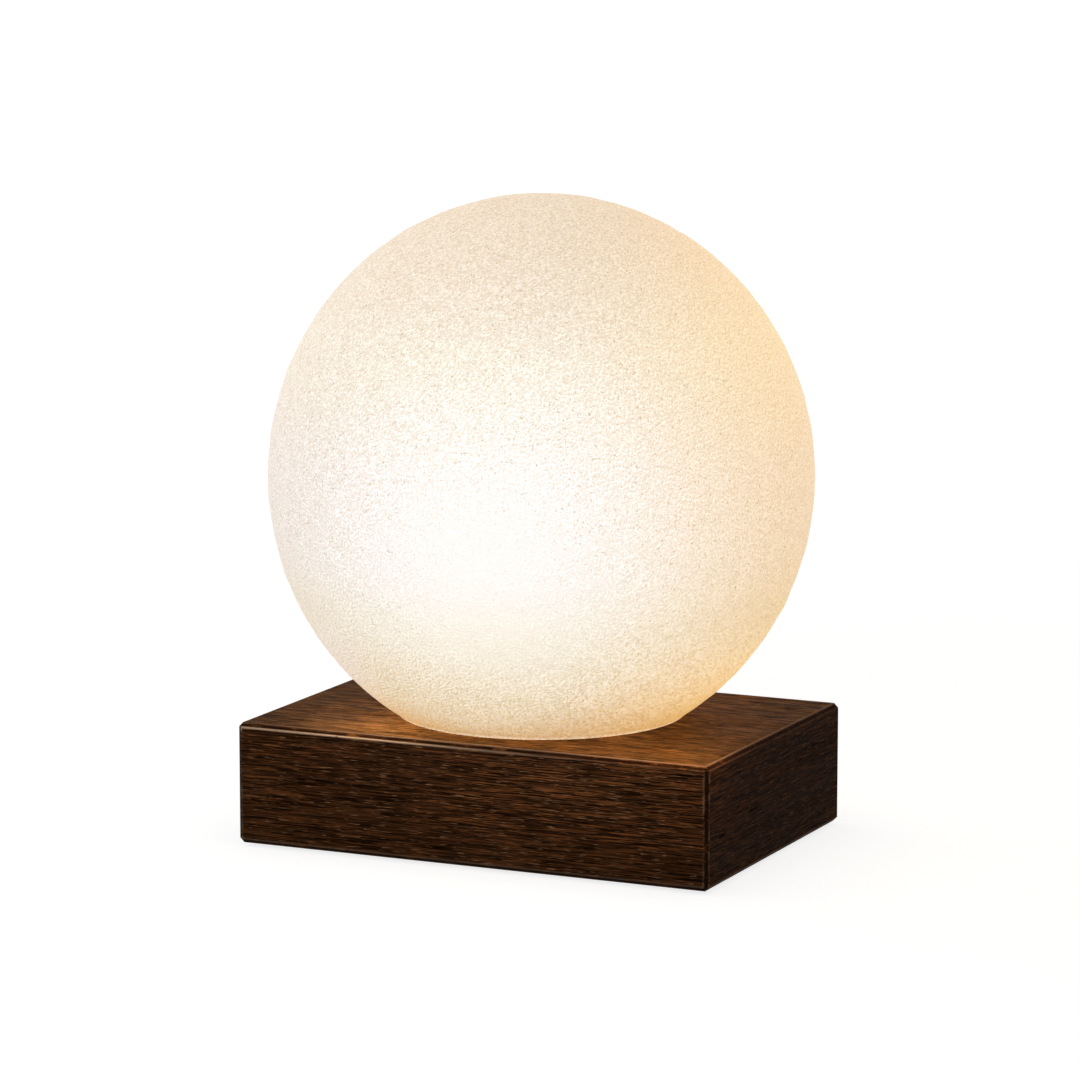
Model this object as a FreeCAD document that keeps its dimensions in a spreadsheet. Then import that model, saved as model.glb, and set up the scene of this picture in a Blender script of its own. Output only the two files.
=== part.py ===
import FreeCAD, Part
import Sketcher
import os
from math import atan2, pi, sqrt

# Salt lamp: a lit globe of pressed salt on a dark wood block, in millimetres.
# The origin is on the floor under the middle of the block, +Z up, -Y the front, +X the right end.

sizes = {
    # Wood block and its feet
    "base_length": 168,
    "base_depth": 114,
    "base_height": 40.5,
    "edge_chamfer": 1.5,
    "foot_width": 16,
    "foot_thickness": 3,
    "foot_proud": 1,
    "foot_inset": 18,
    "foot_round": 0.5,
    # Hollows of the block: wiring pocket within the rim of its cover, lampholder seat above, a web between
    "seat_width": 36,
    "seat_depth": 12,
    "web_thickness": 8,
    "cover_width": 84,
    "cover_rim": 7,
    "cover_thickness": 1.5,
    "cover_gap": 0.25,
    "cover_screw_width": 2.5,
    "cover_screw_head": 4.6,
    "cover_screw_length": 12,
    # Cord inlet in the back of the block
    "inlet_width": 10,
    "inlet_bore": 6.6,
    "inlet_flange": 15,
    "inlet_flange_thickness": 2,
    "inlet_length": 14,
    # Globe, its bore and the pad under its foot
    "globe_width": 180,
    "globe_rise": 2.8,
    "globe_foot": 94,
    "cavity_width": 60,
    "cavity_depth": 100,
    "mouth_bevel": 1.5,
    "pad_thickness": 0.6,
    "pad_inset": 4,
    # Collar that centres the globe
    "collar_gap": 0.6,
    "collar_setback": 1,
    "collar_height": 12,
    "collar_wall": 1.2,
    "collar_lip": 1,
    "collar_screw_width": 2.9,
    "collar_screw_head": 5,
    "collar_screw_head_height": 1.8,
    "collar_screw_length": 10,
    # Threaded tube with its washers and nut
    "nipple_width": 10,
    "nipple_bore": 7.4,
    "nipple_end": 2,
    "washer_width": 20,
    "washer_thickness": 1,
    "lock_washer_width": 17,
    "lock_washer_thickness": 1.2,
    "lock_washer_slit": 1.5,
    "nut_across_flats": 14,
    "nut_thickness": 4,
    # Lampholder
    "holder_width": 28,
    "holder_floor": 5,
    "holder_ledge": 11,
    "holder_joint": 20,
    "holder_height": 44,
    "holder_wall": 1.9,
    "holder_round": 3,
    "holder_rim": 0.8,
    "spigot_length": 4.8,
    "core_margin": 2.7,
    "core_height": 10,
    "wire_ledge": 1.8,
    "lip_thickness": 1.5,
    "lip_reach": 1.4,
    "terminal_ring": 5.5,
    "terminal_width": 3,
    "terminal_head": 4.2,
    "terminal_head_height": 2,
    "terminal_length": 6,
    "grub_width": 3,
    "grub_length": 5,
    # Screw cap of the bulb and the parts it meets
    "thread_pitch": 2.8,
    "thread_crest": 13.7,
    "thread_root": 12.1,
    "thread_room": 0.25,
    "shell_wall": 0.4,
    "shell_flange": 17,
    "contact_width": 4,
    "contact_sheet": 0.4,
    "contact_rise": 2.4,
    "tip_gap": 0.3,
    "tip_width": 4.8,
    "tip_height": 1.2,
    "insulator_height": 3,
    "insulator_plug": 2,
    "cap_wall": 0.4,
    "cap_socket": 2.8,
    # Bulb
    "bulb_width": 28,
    "bulb_rise": 6,
    "neck_width": 15.8,
    "neck_height": 3.5,
    "glass_wall": 0.8,
    "stem_width": 5,
    "stem_height": 10,
    "filament_ring": 10,
    "filament_width": 1.8,
    "filament_length": 20,
    "filament_lift": 12,
    "ring_wire": 0.8,
    "board_width": 7,
    "board_height": 11,
    "board_thickness": 1.2,
    # Clearances and drive slots
    "fit": 0.05,
    "slot_width": 0.8,
    "slot_depth": 0.7,
}
THREAD_TURNS = 6
SHELL_TURNS = 4

doc = FreeCAD.newDocument("salt_lamp")
sheet = doc.addObject("Spreadsheet::Sheet", "Sizes")
for row, (alias, size) in enumerate(sizes.items(), start=1):
    sheet.set(f"A{row}", alias)
    sheet.set(f"B{row}", str(size))
    sheet.setAlias(f"B{row}", alias)
doc.recompute()

# Levels that several pieces share, from the floor up
BLOCK_BOTTOM = "Sizes.foot_proud"
BLOCK_TOP = f"({BLOCK_BOTTOM} + Sizes.base_height)"
SEAT_FLOOR = f"({BLOCK_TOP} - Sizes.seat_depth)"
WEB_BOTTOM = f"({SEAT_FLOOR} - Sizes.web_thickness)"
INLET_LEVEL = f"(({BLOCK_BOTTOM} + {WEB_BOTTOM}) / 2)"
WASHER_BOTTOM = f"({WEB_BOTTOM} - Sizes.washer_thickness)"
NUT_TOP = f"({WASHER_BOTTOM} - Sizes.lock_washer_thickness)"
NUT_BOTTOM = f"({NUT_TOP} - Sizes.nut_thickness)"
CAP_FLOOR = f"({SEAT_FLOOR} + Sizes.holder_floor)"
CAP_LEDGE = f"({SEAT_FLOOR} + Sizes.holder_ledge)"
CAP_RIM = f"({SEAT_FLOOR} + Sizes.holder_joint)"
CORE_TOP = f"({CAP_LEDGE} + Sizes.core_height)"
SPIGOT_BOTTOM = f"({CAP_RIM} - Sizes.spigot_length)"
TIP = f"({CORE_TOP} + Sizes.contact_rise + Sizes.tip_gap)"
INSULATOR_BOTTOM = f"({TIP} + Sizes.tip_height)"
THREAD_BOTTOM = f"({INSULATOR_BOTTOM} + Sizes.insulator_height)"
THREAD_TOP = f"({THREAD_BOTTOM} + {THREAD_TURNS} * Sizes.thread_pitch)"
NECK_BOTTOM = f"({THREAD_TOP} + 2 * Sizes.cap_wall)"
NECK_TOP = f"({NECK_BOTTOM} + Sizes.neck_height)"
FILAMENT_BOTTOM = f"({NECK_BOTTOM} + Sizes.filament_lift)"
FILAMENT_TOP = f"({FILAMENT_BOTTOM} + Sizes.filament_length)"
GLOBE_FOOT = f"({BLOCK_TOP} + Sizes.pad_thickness)"

# Radii that several pieces share
HOLDER = "(Sizes.holder_width / 2)"
CORE = f"({HOLDER} - Sizes.core_margin)"
SPIGOT = f"({HOLDER} - Sizes.holder_wall / 2 - Sizes.fit)"
NIPPLE = "(Sizes.nipple_width / 2)"
CAVITY = "(Sizes.cavity_width / 2)"
COLLAR = f"({CAVITY} - Sizes.collar_gap)"
COLLAR_INNER = "(Sizes.seat_width / 2 + Sizes.collar_setback)"
COLLAR_SCREW_RING = f"(({COLLAR} - Sizes.collar_wall + {COLLAR_INNER}) / 2)"
POCKET = "(Sizes.cover_width / 2 - Sizes.cover_rim)"
COVER_SCREW_RING = "((Sizes.cover_width - Sizes.cover_rim) / 2)"
ROOT = "(Sizes.thread_root / 2)"
CREST = "(Sizes.thread_crest / 2)"
NECK = "(Sizes.neck_width / 2)"

pieces = []


def amount(expression):
    return float(sheet.evalExpression(expression))


def new_body(label):
    body = doc.addObject("PartDesign::Body", label)
    body.Label = label
    pieces.append(body)
    return body


def bind(sketch, constraint, expression):
    index = sketch.addConstraint(constraint)
    sketch.renameConstraint(index, f"size_{index}")
    sketch.setExpression(f"Constraints.size_{index}", expression)


def pin(sketch, edge, end, across, up):
    """Place one end of a sketch edge by its two distances from the sketch's origin."""
    for kind, axis, expression in (("DistanceX", -2, across), ("DistanceY", -1, up)):
        if expression == "0":
            sketch.addConstraint(Sketcher.Constraint("PointOnObject", edge, end, axis))
        elif expression is not None:
            bind(sketch, Sketcher.Constraint(kind, -1, 1, edge, end, amount(expression)), expression)


def new_sketch(body, name, role, lift="0"):
    sketch = body.newObject("Sketcher::SketchObject", name)
    plane = next(item for item in body.Origin.OriginFeatures if item.Role == role)
    sketch.AttachmentSupport = [(plane, "")]
    sketch.MapMode = "FlatFace"
    if lift != "0":
        sketch.setExpression("AttachmentOffset.Base.z", lift)
    return sketch


def crown_height(rim, half_width, half_height):
    """Top of an upright oval on the axis that passes through a point below its middle."""
    return rim.y + half_height * (1 + sqrt(1 - (rim.x / half_width) ** 2))


def round_edge(start, end, radius, turn):
    """Circular edge; turn is 1 for a centre on the left of the way from start to end, -1 on the right."""
    chord = end - start
    reach = sqrt(max(radius**2 - (chord.Length / 2) ** 2, 0))
    left = FreeCAD.Vector(-chord.y, chord.x, 0).normalize()
    centre = (start + end) * 0.5 + left * (turn * reach)
    first, last = (start, end) if turn > 0 else (end, start)
    angles = [atan2(point.y - centre.y, point.x - centre.x) for point in (first, last)]
    if angles[1] < angles[0]:
        angles[1] += 2 * pi
    circle = Part.Circle(centre, FreeCAD.Vector(0, 0, 1), radius)
    return Part.ArcOfCircle(circle, *angles)


def oval_edge(rim, crown, half_width, half_height):
    """Right-hand side of an upright oval, from a point below its middle up to its crown."""
    middle = FreeCAD.Vector(0, crown.y - half_height, 0)
    oval = Part.Ellipse(crown, middle - FreeCAD.Vector(half_width, 0, 0), middle)
    return Part.ArcOfEllipse(oval, oval.parameter(rim), 2 * pi)


def outline(body, name, corners, curves=None, role="XZ_Plane", lift="0"):
    """Closed outline through corners given as expressions.

    curves holds the edges that aren't straight, by the number of the corner they start from:
    ("round", radius, turn) or ("oval", half width, half height), whose crown is a corner with no height.
    """
    curves = curves or {}
    sketch = new_sketch(body, name, role, lift)
    count = len(corners)
    spots = [FreeCAD.Vector(amount(x), amount(y) if y else 0, 0) for x, y in corners]
    for start, (kind, *shape) in curves.items():
        if kind == "oval":
            end = (start + 1) % count
            rim, crown = (start, end) if corners[end][1] is None else (end, start)
            spots[crown].y = crown_height(spots[rim], *map(amount, shape))

    edges = []
    for index in range(count):
        start = spots[index]
        end = spots[(index + 1) % count]
        kind, *shape = curves.get(index, ("straight",))
        forward = True
        if kind == "round":
            radius, turn = shape
            edge = round_edge(start, end, amount(radius), turn)
            forward = turn > 0
        elif kind == "oval":
            forward = corners[index][1] is not None
            rim, crown = (start, end) if forward else (end, start)
            edge = oval_edge(rim, crown, *map(amount, shape))
        else:
            edge = Part.LineSegment(start, end)
        edges.append((sketch.addGeometry(edge, False), *((1, 2) if forward else (2, 1))))

    for index, (edge, _, last) in enumerate(edges):
        following, first, _ = edges[(index + 1) % count]
        sketch.addConstraint(Sketcher.Constraint("Coincident", edge, last, following, first))
    for (edge, first, _), (across, up) in zip(edges, corners):
        pin(sketch, edge, first, across, up)
    for start, (kind, *shape) in curves.items():
        edge = edges[start][0]
        if kind == "round":
            bind(sketch, Sketcher.Constraint("Radius", edge, amount(shape[0])), shape[0])
        else:
            upright = len(sketch.Geometry)
            level = upright + 1
            sketch.exposeInternalGeometry(edge)
            sketch.addConstraint(Sketcher.Constraint("PointOnObject", edge, 3, -2))
            sketch.addConstraint(Sketcher.Constraint("Vertical", upright))
            for line, half in ((level, shape[0]), (upright, shape[1])):
                bind(sketch, Sketcher.Constraint("Distance", line, 2 * amount(half)), f"2 * ({half})")
    return sketch


def revolve(body, sketch, axis):
    feature = body.newObject("PartDesign::Revolution", "turned")
    feature.Profile = sketch
    feature.ReferenceAxis = (sketch, [axis])
    feature.Angle = 360
    return feature


def turned(label, corners, curves=None):
    """Piece turned about the lamp's upright axis."""
    body = new_body(label)
    revolve(body, outline(body, "outline", corners, curves), "V_Axis")
    return body


def tube(label, inner, outer, bottom, top):
    return turned(label, [(inner, bottom), (outer, bottom), (outer, top), (inner, top)])


def circles(body, name, diameter, centres, role, lift):
    sketch = new_sketch(body, name, role, lift)
    for across, up in centres:
        middle = FreeCAD.Vector(amount(across), amount(up), 0)
        circle = Part.Circle(middle, FreeCAD.Vector(0, 0, 1), amount(diameter) / 2)
        edge = sketch.addGeometry(circle, False)
        pin(sketch, edge, 3, across, up)
        bind(sketch, Sketcher.Constraint("Diameter", edge, amount(diameter)), diameter)
    return sketch


MIDDLE = [("0", "0")]


def ring_of(count, radius):
    """Centres spread evenly on a circle, the first one on +X."""
    return [
        (f"{radius} * cos({turn} deg)", f"{radius} * sin({turn} deg)" if turn % 180 else "0")
        for turn in range(0, 360, 360 // count)
    ]


def post(body, name, diameter, height, lift, centres):
    """Round posts that stand up from a level."""
    feature = body.newObject("PartDesign::Pad", name)
    feature.Profile = circles(body, f"{name}_plan", diameter, centres, "XY_Plane", lift)
    feature.setExpression("Length", height)
    return feature


def cut(body, name, sketch, depth, with_normal):
    """Pocket that runs along the sketch's normal or against it, checked to take material away."""
    doc.recompute()
    before = body.Shape.Volume
    feature = body.newObject("PartDesign::Pocket", name)
    feature.Profile = sketch
    feature.setExpression("Length", depth)
    feature.Reversed = with_normal
    doc.recompute()
    if not body.Shape.Volume < before:
        raise RuntimeError(f"{body.Label}: {name} takes nothing away")
    return feature


def bore(body, name, diameter, depth, lift, upward, centres=MIDDLE):
    """Round holes sunk from a level, up or down."""
    return cut(body, name, circles(body, f"{name}_plan", diameter, centres, "XY_Plane", lift), depth, upward)


def screws(label, count, ring, corners, slot_level, slot_length, slot_up, curves=None):
    """Group of slotted screws on a circle; their outline is given from their own axis."""
    body = new_body(label)
    sketch = outline(body, "outline", [(f"{ring} + {across}", up) for across, up in corners], curves)
    low, high = amount(corners[0][1]), amount(corners[-1][1])
    ends = [FreeCAD.Vector(amount(ring), level, 0) for level in (low, high)]
    axis = sketch.addGeometry(Part.LineSegment(*ends), True)
    pin(sketch, axis, 1, ring, corners[0][1])
    pin(sketch, axis, 2, ring, corners[-1][1])
    shank = revolve(body, sketch, "Axis0")
    half_length = f"{slot_length} / 2"
    half_width = "Sizes.slot_width / 2"
    plan = [
        (f"{ring} - {half_length}", f"-{half_width}"),
        (f"{ring} + {half_length}", f"-{half_width}"),
        (f"{ring} + {half_length}", half_width),
        (f"{ring} - {half_length}", half_width),
    ]
    slot_plan = outline(body, "slot_plan", plan, role="XY_Plane", lift=slot_level)
    slot = cut(body, "slot", slot_plan, "Sizes.slot_depth", slot_up)
    pattern = body.newObject("PartDesign::PolarPattern", "around")
    pattern.Originals = [shank, slot]
    upright = next(item for item in body.Origin.OriginFeatures if item.Role == "Z_Axis")
    pattern.Axis = (upright, [""])
    pattern.Angle = 360
    pattern.Occurrences = count
    body.Tip = pattern
    return body


def plate(label, corners, width):
    """Flat piece of a given width across the lamp's middle plane, cut to an outline seen from the front."""
    body = new_body(label)
    feature = body.newObject("PartDesign::Pad", "sheet")
    feature.Profile = outline(body, "outline", corners)
    feature.SideType = "Symmetric"
    feature.setExpression("Length", width)
    return body


COVER_SCREWS = 3
COLLAR_SCREWS = 3
TERMINALS = 2
COVER_PILOT = "(Sizes.cover_screw_width + 2 * Sizes.fit)"
COLLAR_PILOT = "(Sizes.collar_screw_width + 2 * Sizes.fit)"
FOOT_ACROSS = "(Sizes.base_length / 2 - Sizes.foot_inset)"
FOOT_BACK = "(Sizes.base_depth / 2 - Sizes.foot_inset)"
foot_places = [(f"{x}{FOOT_ACROSS}", f"{y}{FOOT_BACK}") for x in ("", "-") for y in ("", "-")]


def wood_base():
    """Block with chamfered edges, hollowed from below for the wires and from above for the lampholder."""
    body = new_body("wood_base")
    corners = [
        (f"{x}Sizes.base_length / 2", f"{y}Sizes.base_depth / 2")
        for x, y in (("-", "-"), ("", "-"), ("", ""), ("-", ""))
    ]
    block = body.newObject("PartDesign::Pad", "block")
    block.Profile = outline(body, "plan", corners, role="XY_Plane", lift=BLOCK_BOTTOM)
    block.setExpression("Length", "Sizes.base_height")
    doc.recompute()
    eased = body.newObject("PartDesign::Chamfer", "eased_edges")
    eased.Base = (block, [f"Edge{number}" for number in range(1, len(block.Shape.Edges) + 1)])
    eased.setExpression("Size", "Sizes.edge_chamfer")

    pocket_depth = f"{WEB_BOTTOM} - {BLOCK_BOTTOM}"
    cover_recess = "Sizes.cover_width + 2 * Sizes.cover_gap"
    nipple_hole = "Sizes.nipple_width + 8 * Sizes.fit"
    foot_recess = "Sizes.foot_width + 4 * Sizes.fit"
    bore(body, "wiring_pocket", f"2 * {POCKET}", pocket_depth, BLOCK_BOTTOM, True)
    bore(body, "cover_recess", cover_recess, "Sizes.cover_thickness", BLOCK_BOTTOM, True)
    bore(body, "holder_seat", "Sizes.seat_width", "Sizes.seat_depth", BLOCK_TOP, False)
    bore(body, "nipple_hole", nipple_hole, "Sizes.web_thickness", SEAT_FLOOR, False)
    foot_depth = "Sizes.foot_thickness - Sizes.foot_proud"
    bore(body, "foot_recesses", foot_recess, foot_depth, BLOCK_BOTTOM, True, foot_places)
    bore(
        body, "cover_pilots", COVER_PILOT, "Sizes.cover_screw_length",
        f"{BLOCK_BOTTOM} + Sizes.cover_thickness", True, ring_of(COVER_SCREWS, COVER_SCREW_RING),
    )
    bore(
        body, "collar_pilots", COLLAR_PILOT, "Sizes.collar_screw_length",
        BLOCK_TOP, False, ring_of(COLLAR_SCREWS, COLLAR_SCREW_RING),
    )
    inlet = circles(
        body, "inlet_plan", "Sizes.inlet_width", [("0", INLET_LEVEL)], "XZ_Plane", "-Sizes.base_depth / 2"
    )
    cut(body, "cord_inlet", inlet, "Sizes.base_depth / 2", True)


def rubber_feet():
    body = new_body("rubber_feet")
    feet = post(body, "feet", "Sizes.foot_width", "Sizes.foot_thickness", "0", foot_places)
    doc.recompute()
    soles = [
        f"Edge{number}"
        for number, edge in enumerate(feet.Shape.Edges, start=1)
        if edge.BoundBox.ZMax < amount("Sizes.foot_proud") / 2
    ]
    eased = body.newObject("PartDesign::Chamfer", "eased_soles")
    eased.Base = (feet, soles)
    eased.setExpression("Size", "Sizes.foot_round")


def bottom_cover():
    """Round plate let into the underside, with countersunk holes."""
    plate_top = f"{BLOCK_BOTTOM} + Sizes.cover_thickness"
    body = turned("bottom_cover", [
        ("0", BLOCK_BOTTOM),
        ("Sizes.cover_width / 2", BLOCK_BOTTOM),
        ("Sizes.cover_width / 2", plate_top),
        ("0", plate_top),
    ])
    holes = ring_of(COVER_SCREWS, COVER_SCREW_RING)
    drilled = bore(body, "screw_holes", COVER_PILOT, "Sizes.cover_thickness", BLOCK_BOTTOM, True, holes)
    rims = [
        f"Edge{number}"
        for number, edge in enumerate(body.Shape.Edges, start=1)
        if edge.BoundBox.ZMax < amount(BLOCK_BOTTOM) + amount("Sizes.fit")
        and edge.BoundBox.XLength < amount("Sizes.cover_screw_head")
    ]
    sunk = body.newObject("PartDesign::Chamfer", "countersinks")
    sunk.Base = (drilled, rims)
    sunk.setExpression("Size", "(Sizes.cover_screw_head - Sizes.cover_screw_width) / 2")


def cover_screws():
    shank = "Sizes.cover_screw_width / 2"
    head = "Sizes.cover_screw_head / 2"
    head_top = f"{BLOCK_BOTTOM} + {head} - {shank}"
    tip = f"{BLOCK_BOTTOM} + Sizes.cover_screw_length"
    outline_points = [
        ("0", BLOCK_BOTTOM), (head, BLOCK_BOTTOM), (shank, head_top), (shank, f"{tip} - {shank}"), ("0", tip),
    ]
    slot = "Sizes.cover_screw_head"
    screws("cover_screws", COVER_SCREWS, COVER_SCREW_RING, outline_points, BLOCK_BOTTOM, slot, True)


def cord_grommet():
    """Rubber bush in the back of the block, modelled upright and then laid along +Y."""
    outer = "Sizes.inlet_width / 2 - Sizes.fit"
    inner = "Sizes.inlet_bore / 2"
    flange = "Sizes.inlet_flange / 2"
    lip = "Sizes.inlet_flange_thickness"
    body = turned(
        "cord_grommet",
        [
            (inner, "-Sizes.inlet_length"), (outer, "-Sizes.inlet_length"), (outer, "0"), (flange, "0"),
            (flange, f"{lip} / 2"), (f"{flange} - {lip} / 2", lip), (inner, lip),
        ],
        {4: ("round", f"{lip} / 2", 1)},
    )
    body.Placement = FreeCAD.Placement(FreeCAD.Vector(), FreeCAD.Rotation(FreeCAD.Vector(1, 0, 0), -90))
    body.setExpression("Placement.Base.y", "Sizes.base_depth / 2")
    body.setExpression("Placement.Base.z", INLET_LEVEL)


def locating_collar():
    """Spun ring with a flat flange below and a small rolled lip above."""
    flange_top = f"{BLOCK_TOP} + Sizes.collar_wall"
    wall = f"{COLLAR} - Sizes.collar_wall"
    rim = f"{BLOCK_TOP} + Sizes.collar_height"
    body = turned(
        "locating_collar",
        [
            (COLLAR_INNER, BLOCK_TOP),
            (f"{COLLAR} - Sizes.collar_lip", BLOCK_TOP),
            (COLLAR, f"{BLOCK_TOP} + Sizes.collar_lip"),
            (COLLAR, f"{rim} - Sizes.collar_lip"),
            (f"{COLLAR} - Sizes.collar_lip", rim),
            (wall, rim),
            (wall, flange_top),
            (COLLAR_INNER, flange_top),
        ],
        {1: ("round", "Sizes.collar_lip", 1), 3: ("round", "Sizes.collar_lip", 1)},
    )
    holes = ring_of(COLLAR_SCREWS, COLLAR_SCREW_RING)
    bore(body, "screw_holes", COLLAR_PILOT, "Sizes.collar_wall", flange_top, False, holes)


def collar_screws():
    """Round-head wood screws through the flange of the collar."""
    shank = "Sizes.collar_screw_width / 2"
    head = "Sizes.collar_screw_head / 2"
    crown = f"{head} / 2"
    seat = f"{BLOCK_TOP} + Sizes.collar_wall"
    top = f"{seat} + Sizes.collar_screw_head_height"
    tip = f"{seat} - Sizes.collar_screw_length"
    points = [
        ("0", tip), (shank, f"{tip} + {shank}"), (shank, seat), (head, seat),
        (head, f"{top} - {crown}"), (f"{head} - {crown}", top), ("0", top),
    ]
    curves = {4: ("round", crown, 1)}
    slot = "Sizes.collar_screw_head"
    screws("collar_screws", COLLAR_SCREWS, COLLAR_SCREW_RING, points, top, slot, False, curves)


def holder_fixing():
    """Threaded tube through the web, locked below by two washers and a nut."""
    tube_bottom = f"{NUT_BOTTOM} - Sizes.nipple_end"
    tube_top = f"{CAP_FLOOR} + Sizes.nipple_end / 2"
    tube("threaded_nipple", "Sizes.nipple_bore / 2", NIPPLE, tube_bottom, tube_top)
    tube("nipple_washer", f"{NIPPLE} + 4 * Sizes.fit", "Sizes.washer_width / 2", WASHER_BOTTOM, WEB_BOTTOM)
    lock_outer = "Sizes.lock_washer_width / 2"
    lock = tube("lock_washer", f"{NIPPLE} + 4 * Sizes.fit", lock_outer, NUT_TOP, WASHER_BOTTOM)
    slit = [
        ("0", "-Sizes.lock_washer_slit / 2"), (lock_outer, "-Sizes.lock_washer_slit / 2"),
        (lock_outer, "Sizes.lock_washer_slit / 2"), ("0", "Sizes.lock_washer_slit / 2"),
    ]
    slit_plan = outline(lock, "slit_plan", slit, role="XY_Plane", lift=NUT_TOP)
    cut(lock, "slit", slit_plan, "Sizes.lock_washer_thickness", True)

    hexagon = doc.addObject("Part::Prism", "nut_hexagon")
    hexagon.Polygon = 6
    hexagon.setExpression("Circumradius", "Sizes.nut_across_flats / sqrt(3)")
    hole = doc.addObject("Part::Cylinder", "nut_hole")
    hole.setExpression("Radius", f"{NIPPLE} + Sizes.fit")
    for solid in (hexagon, hole):
        solid.setExpression("Height", "Sizes.nut_thickness")
        solid.setExpression("Placement.Base.z", NUT_BOTTOM)
    nut = doc.addObject("Part::Cut", "nipple_nut")
    nut.Base = hexagon
    nut.Tool = hole
    nut.Label = "nipple_nut"
    pieces.append(nut)


def holder_cap():
    """Lower half of the lampholder: a cup with a threaded floor, a ledge for the core and a socket."""
    hole = f"{NIPPLE} + Sizes.fit"
    wires = f"{CORE} - Sizes.wire_ledge"
    body = turned(
        "holder_cap",
        [
            (hole, SEAT_FLOOR),
            (f"{HOLDER} - Sizes.holder_round", SEAT_FLOOR),
            (HOLDER, f"{SEAT_FLOOR} + Sizes.holder_round"),
            (HOLDER, CAP_RIM),
            (f"{SPIGOT} + Sizes.fit", CAP_RIM),
            (f"{SPIGOT} + Sizes.fit", f"{SPIGOT_BOTTOM} - Sizes.fit"),
            (f"{CORE} + Sizes.fit", f"{SPIGOT_BOTTOM} - Sizes.fit"),
            (f"{CORE} + Sizes.fit", CAP_LEDGE),
            (wires, CAP_LEDGE),
            (wires, CAP_FLOOR),
            (hole, CAP_FLOOR),
        ],
        {1: ("round", "Sizes.holder_round", 1)},
    )
    grub_level = f"{SEAT_FLOOR} + Sizes.holder_floor / 2"
    grub_hole = circles(
        body, "grub_plan", "Sizes.grub_width + 2 * Sizes.fit", [("0", grub_level)], "YZ_Plane", HOLDER
    )
    cut(body, "grub_hole", grub_hole, f"{HOLDER} - Sizes.nipple_width / 4", False)


def nipple_grub():
    """Grub screw that locks the cap on the tube, modelled upright and then laid along +X."""
    width = "Sizes.grub_width / 2"
    body = turned("nipple_grub", [
        ("0", f"{NIPPLE} + Sizes.fit"),
        (width, f"{NIPPLE} + Sizes.fit"),
        (width, f"{NIPPLE} + Sizes.grub_length"),
        ("0", f"{NIPPLE} + Sizes.grub_length"),
    ])
    body.Placement = FreeCAD.Placement(FreeCAD.Vector(), FreeCAD.Rotation(FreeCAD.Vector(0, 1, 0), 90))
    body.setExpression("Placement.Base.z", f"{SEAT_FLOOR} + Sizes.holder_floor / 2")


def holder_core():
    body = turned("holder_core", [("0", CAP_LEDGE), (CORE, CAP_LEDGE), (CORE, CORE_TOP), ("0", CORE_TOP)])
    width = "Sizes.terminal_width + 2 * Sizes.fit"
    holes = ring_of(TERMINALS, "Sizes.terminal_ring")
    bore(body, "terminal_holes", width, "Sizes.terminal_length", CAP_LEDGE, True, holes)


def terminal_screws():
    shank = "Sizes.terminal_width / 2"
    head = "Sizes.terminal_head / 2"
    head_bottom = f"{CAP_LEDGE} - Sizes.terminal_head_height"
    end = f"{CAP_LEDGE} + Sizes.terminal_length - Sizes.fit"
    points = [
        ("0", head_bottom), (head, head_bottom), (head, CAP_LEDGE),
        (shank, CAP_LEDGE), (shank, end), ("0", end),
    ]
    slot = "Sizes.terminal_head"
    screws("terminal_screws", TERMINALS, "Sizes.terminal_ring", points, head_bottom, slot, True)


def holder_contacts():
    """Sprung tongue under the bulb and the screw shell around it, both on top of the core."""
    sheet_top = f"{CORE_TOP} + Sizes.contact_sheet"
    tongue_top = f"{CORE_TOP} + Sizes.contact_rise"
    tongue_bottom = f"{tongue_top} - Sizes.contact_sheet"
    reach = "Sizes.contact_width"
    plate(
        "centre_contact",
        [
            (f"-{reach}", CORE_TOP), (reach, CORE_TOP), (reach, sheet_top),
            (f"{reach} / 4", tongue_top), (f"-{reach} / 2", tongue_top),
            (f"-{reach} / 2", tongue_bottom), (f"{reach} / 4 - Sizes.contact_sheet / 2", tongue_bottom),
            (f"{reach} - 2 * Sizes.contact_sheet", sheet_top), (f"-{reach}", sheet_top),
        ],
        "Sizes.contact_width",
    )

    room = "Sizes.thread_room"
    wall = "Sizes.thread_room + Sizes.shell_wall"
    flange_top = f"{CORE_TOP} + Sizes.shell_wall"
    inside = [(f"{ROOT} + {room}", CORE_TOP)]
    outside = [(f"{ROOT} + {wall}", flange_top)]
    for turn in range(SHELL_TURNS):
        valley = f"{THREAD_BOTTOM} + {turn} * Sizes.thread_pitch"
        ridge = f"{valley} + Sizes.thread_pitch / 2"
        inside += [(f"{ROOT} + {room}", valley), (f"{CREST} + {room}", ridge)]
        outside += [(f"{ROOT} + {wall}", valley), (f"{CREST} + {wall}", ridge)]
    shell_top = f"{THREAD_BOTTOM} + {SHELL_TURNS} * Sizes.thread_pitch"
    inside.append((f"{ROOT} + {room}", shell_top))
    outside.append((f"{ROOT} + {wall}", shell_top))
    flange = [("Sizes.shell_flange / 2", flange_top), ("Sizes.shell_flange / 2", CORE_TOP)]
    turned("screw_shell", inside + outside[::-1] + flange)


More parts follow.
